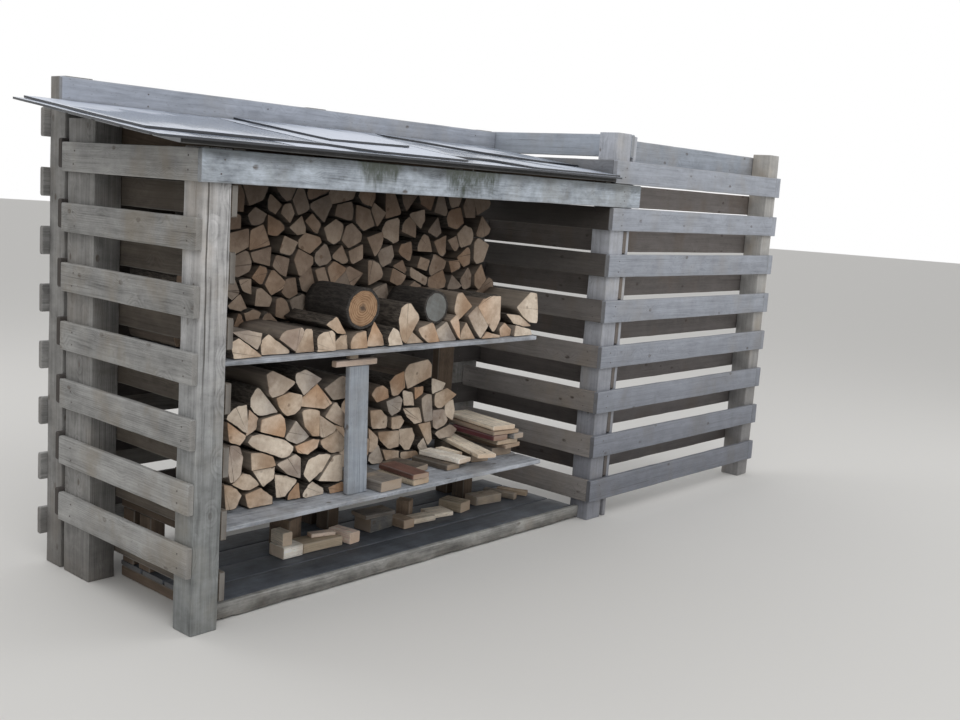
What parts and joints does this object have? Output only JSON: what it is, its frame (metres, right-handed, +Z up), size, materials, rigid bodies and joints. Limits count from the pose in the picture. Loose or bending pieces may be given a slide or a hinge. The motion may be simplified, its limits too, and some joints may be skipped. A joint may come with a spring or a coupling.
{
  "type": "log store",
  "caption": "Open-fronted lean-to log store with slatted timber walls, shelves of stacked firewood and one fence bay beside it.",
  "frame": {"origin": "on the ground under the middle of the bounding box", "axes": "+X along the open front from the free left end to the fence bay, +Y from the open front to the back wall, +Z up"},
  "size_m": [3.701, 0.9788, 1.69],
  "materials": {
    "post_timber": "weathered sawn timber",
    "slat_timber": "weathered sawn timber, silver grey",
    "fascia_timber": "weathered sawn timber, damp, with green algae",
    "brown_timber": "sheltered brown timber",
    "shelf_timber": "weathered planks",
    "base_boards": "wet dark boards",
    "fresh_firewood": "split firewood",
    "old_firewood": "seasoned firewood, greyed",
    "sawn_offcuts": "sawn softwood offcuts, some greyed",
    "roof_sheet": "wet flat roofing sheet"
  },
  "bodies": {
    "root": {"back_wall_inner_slats": "slat_timber", "back_wall_outer_slats": "slat_timber", "base_deck": "base_boards", "base_front_board": "slat_timber", "base_joists": "brown_timber", "base_offcuts": "sawn_offcuts", "block_offcuts": "sawn_offcuts", "corner_batten": "slat_timber", "corner_post": "post_timber", "dark_log": "old_firewood", "front_fascia": "fascia_timber", "left_wall_inner_slats": "slat_timber", "left_wall_outer_slats": "slat_timber", "lower_left_logs": "fresh_firewood", "lower_right_logs": "fresh_firewood", "lower_shelf": "shelf_timber", "lower_shelf_blocks": "brown_timber", "mid_post_cleat": "shelf_timber", "mid_post_front": "shelf_timber", "mid_post_rear": "brown_timber", "plank_offcuts": "sawn_offcuts", "post_front_left": "post_timber", "post_rear_left": "brown_timber", "rear_fence_posts": "post_timber", "rear_plate": "brown_timber", "right_wall_inner_slats": "slat_timber", "right_wall_outer_slats": "slat_timber", "roof_deck": "brown_timber", "roof_lap_sheets": "roof_sheet", "roof_rafters": "brown_timber", "roof_sheet_left": "roof_sheet", "roof_sheet_middle": "roof_sheet", "roof_sheet_right": "roof_sheet", "roof_top_sheets": "roof_sheet", "round_log": "fresh_firewood", "shelf_bearers": "brown_timber", "upper_front_logs": "fresh_firewood", "upper_rear_logs": "old_firewood", "upper_shelf": "shelf_timber", "wing_end_post": "post_timber", "wing_front_slats": "slat_timber", "wing_rear_slats": "slat_timber"}
  },
  "joints": []
}
